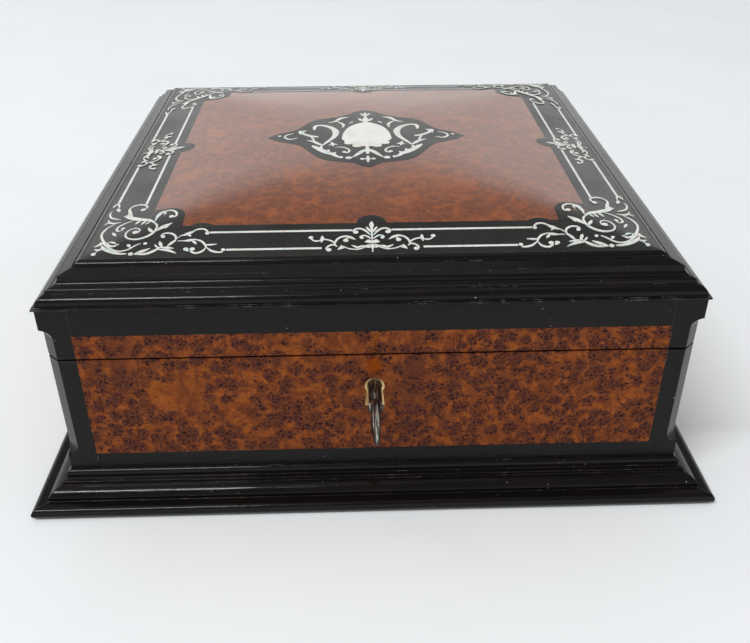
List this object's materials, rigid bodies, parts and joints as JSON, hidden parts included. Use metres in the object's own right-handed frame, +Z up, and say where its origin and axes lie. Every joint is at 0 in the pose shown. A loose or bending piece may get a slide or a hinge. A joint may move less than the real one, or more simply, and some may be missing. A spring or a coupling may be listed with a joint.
{
  "type": "inlaid wooden box",
  "caption": "Square ebonised wooden table box with burl veneer panels, a low domed hinged lid inlaid with white scrollwork, a box lock and its key",
  "frame": {"origin": "middle of the underside, on the surface that the box stands on", "axes": "+Z up, -Y towards the front with the keyhole, +X to the right as seen from the front"},
  "size_m": [0.3018, 0.3199, 0.1211],
  "materials": {
    "ebonised_wood": "polished black stain, worn at the edges",
    "carcass_wood": "plain sawn softwood",
    "burl_veneer": "polished burl with dark eyes",
    "bone_inlay": "polished bone and shell",
    "brass": "dull handled brass",
    "lock_steel": "plain filed steel",
    "key_iron": "dark handled iron",
    "satin_lining": "soft satin over card"
  },
  "bodies": {
    "case": {"base_board": "carcass_wood", "plinth_front": "ebonised_wood", "plinth_back": "ebonised_wood", "plinth_left": "ebonised_wood", "plinth_right": "ebonised_wood", "case_front": "ebonised_wood", "case_back": "ebonised_wood", "case_left": "ebonised_wood", "case_right": "ebonised_wood", "case_corner_posts": "ebonised_wood", "burl_panel_front": "burl_veneer", "burl_panel_left": "burl_veneer", "burl_panel_right": "burl_veneer", "keyhole_escutcheon": "brass", "lock_case": "lock_steel", "lock_back_plate": "brass", "lock_selvedge": "brass", "lock_key_pin": "lock_steel", "lock_spring": "lock_steel", "hinge_case_leaves": "brass", "hinge_pins": "lock_steel", "floor_lining": "satin_lining", "case_wall_linings": "satin_lining"},
    "key": {"key": "key_iron"},
    "bolt": {"lock_bolt": "brass"},
    "lid": {"lid_front": "ebonised_wood", "lid_back": "ebonised_wood", "lid_left": "ebonised_wood", "lid_right": "ebonised_wood", "lid_corner_posts": "ebonised_wood", "lid_panel": "carcass_wood", "lid_moulding_front": "ebonised_wood", "lid_moulding_back": "ebonised_wood", "lid_moulding_left": "ebonised_wood", "lid_moulding_right": "ebonised_wood", "burl_strip_front": "burl_veneer", "burl_strip_left": "burl_veneer", "burl_strip_right": "burl_veneer", "top_border_veneer": "ebonised_wood", "top_burl_veneer": "burl_veneer", "cartouche_ground": "ebonised_wood", "cartouche_medallion": "bone_inlay", "cartouche_scrolls": "bone_inlay", "border_stringing": "bone_inlay", "corner_scrolls": "bone_inlay", "side_palmettes": "bone_inlay", "strike_plate": "brass", "hinge_lid_leaves": "brass", "lid_lining_pad": "satin_lining", "lid_wall_linings": "satin_lining"}
  },
  "joints": [
    {"name": "lid_hinge", "type": "hinge", "parent": "case", "child": "lid", "pos_m": [0, 0.1372, 0.0734], "axis": [-1, 0, 0], "range_deg": [0, 100]},
    {"name": "key_turn", "type": "hinge", "parent": "case", "child": "key", "pos_m": [0, -0.135, 0.0573], "axis": [0, 1, 0], "range_deg": [0, 360]},
    {"name": "bolt_slide", "type": "slide", "parent": "case", "child": "bolt", "axis": [1, 0, 0], "range_m": [0, 0.007]}
  ],
  "couplings": [
    {"joint": "bolt_slide", "follows": "key_turn", "m_per_rad": 0.001114}
  ]
}
